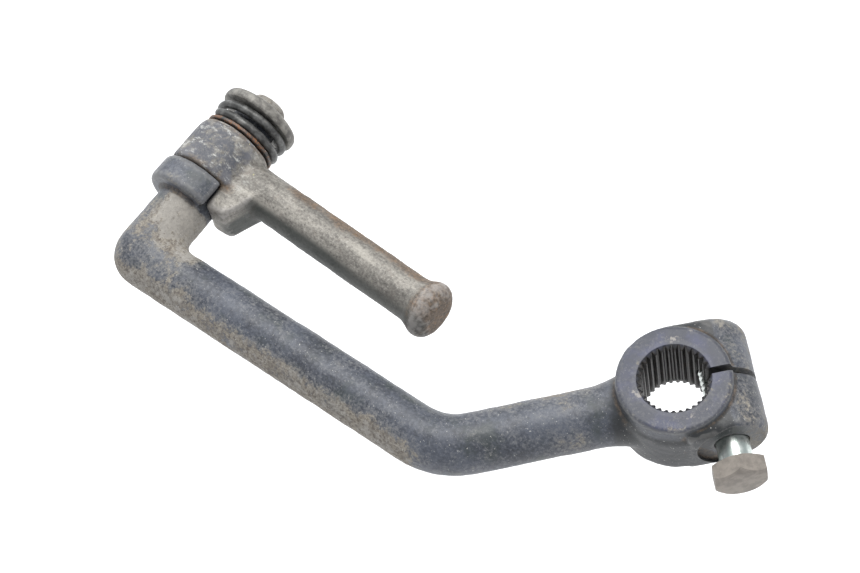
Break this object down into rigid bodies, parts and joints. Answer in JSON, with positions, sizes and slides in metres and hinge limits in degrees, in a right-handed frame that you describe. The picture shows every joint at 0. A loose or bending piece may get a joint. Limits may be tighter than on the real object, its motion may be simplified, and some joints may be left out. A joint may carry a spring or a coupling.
{
  "type": "kick-start lever",
  "caption": "Forged kick-start lever with a serrated clamp boss, a pinch bolt and a folding foot pedal held by a spring stack.",
  "frame": {"origin": "on the axis of the serrated clamp bore, in the plane of the boss's outer end", "axes": "+Z along the bore towards the engine, +X along the arm's long straight from the elbow towards the boss, +Y along the pedal's pivot"},
  "size_m": [0.1695, 0.0712, 0.0228],
  "materials": {
    "worn_black_paint": "satin, worn and chipped",
    "oxidised_steel": "bare, dull, lightly rusted",
    "dark_spring_steel": "dark, oiled",
    "zinc_plated_steel": "dull zinc plate"
  },
  "bodies": {
    "lever": {"lever_arm": "worn_black_paint", "clamp_bolt": "zinc_plated_steel", "thrust_washer": "dark_spring_steel", "pedal_spring": "dark_spring_steel", "spring_cap": "oxidised_steel"},
    "pedal": {"foot_pedal": "oxidised_steel"}
  },
  "joints": [
    {"name": "pedal_fold", "type": "hinge", "parent": "lever", "child": "pedal", "pos_m": [-0.12986, -0.01, 0.0072], "axis": [0, 1, 0], "range_deg": [0, 90]}
  ]
}
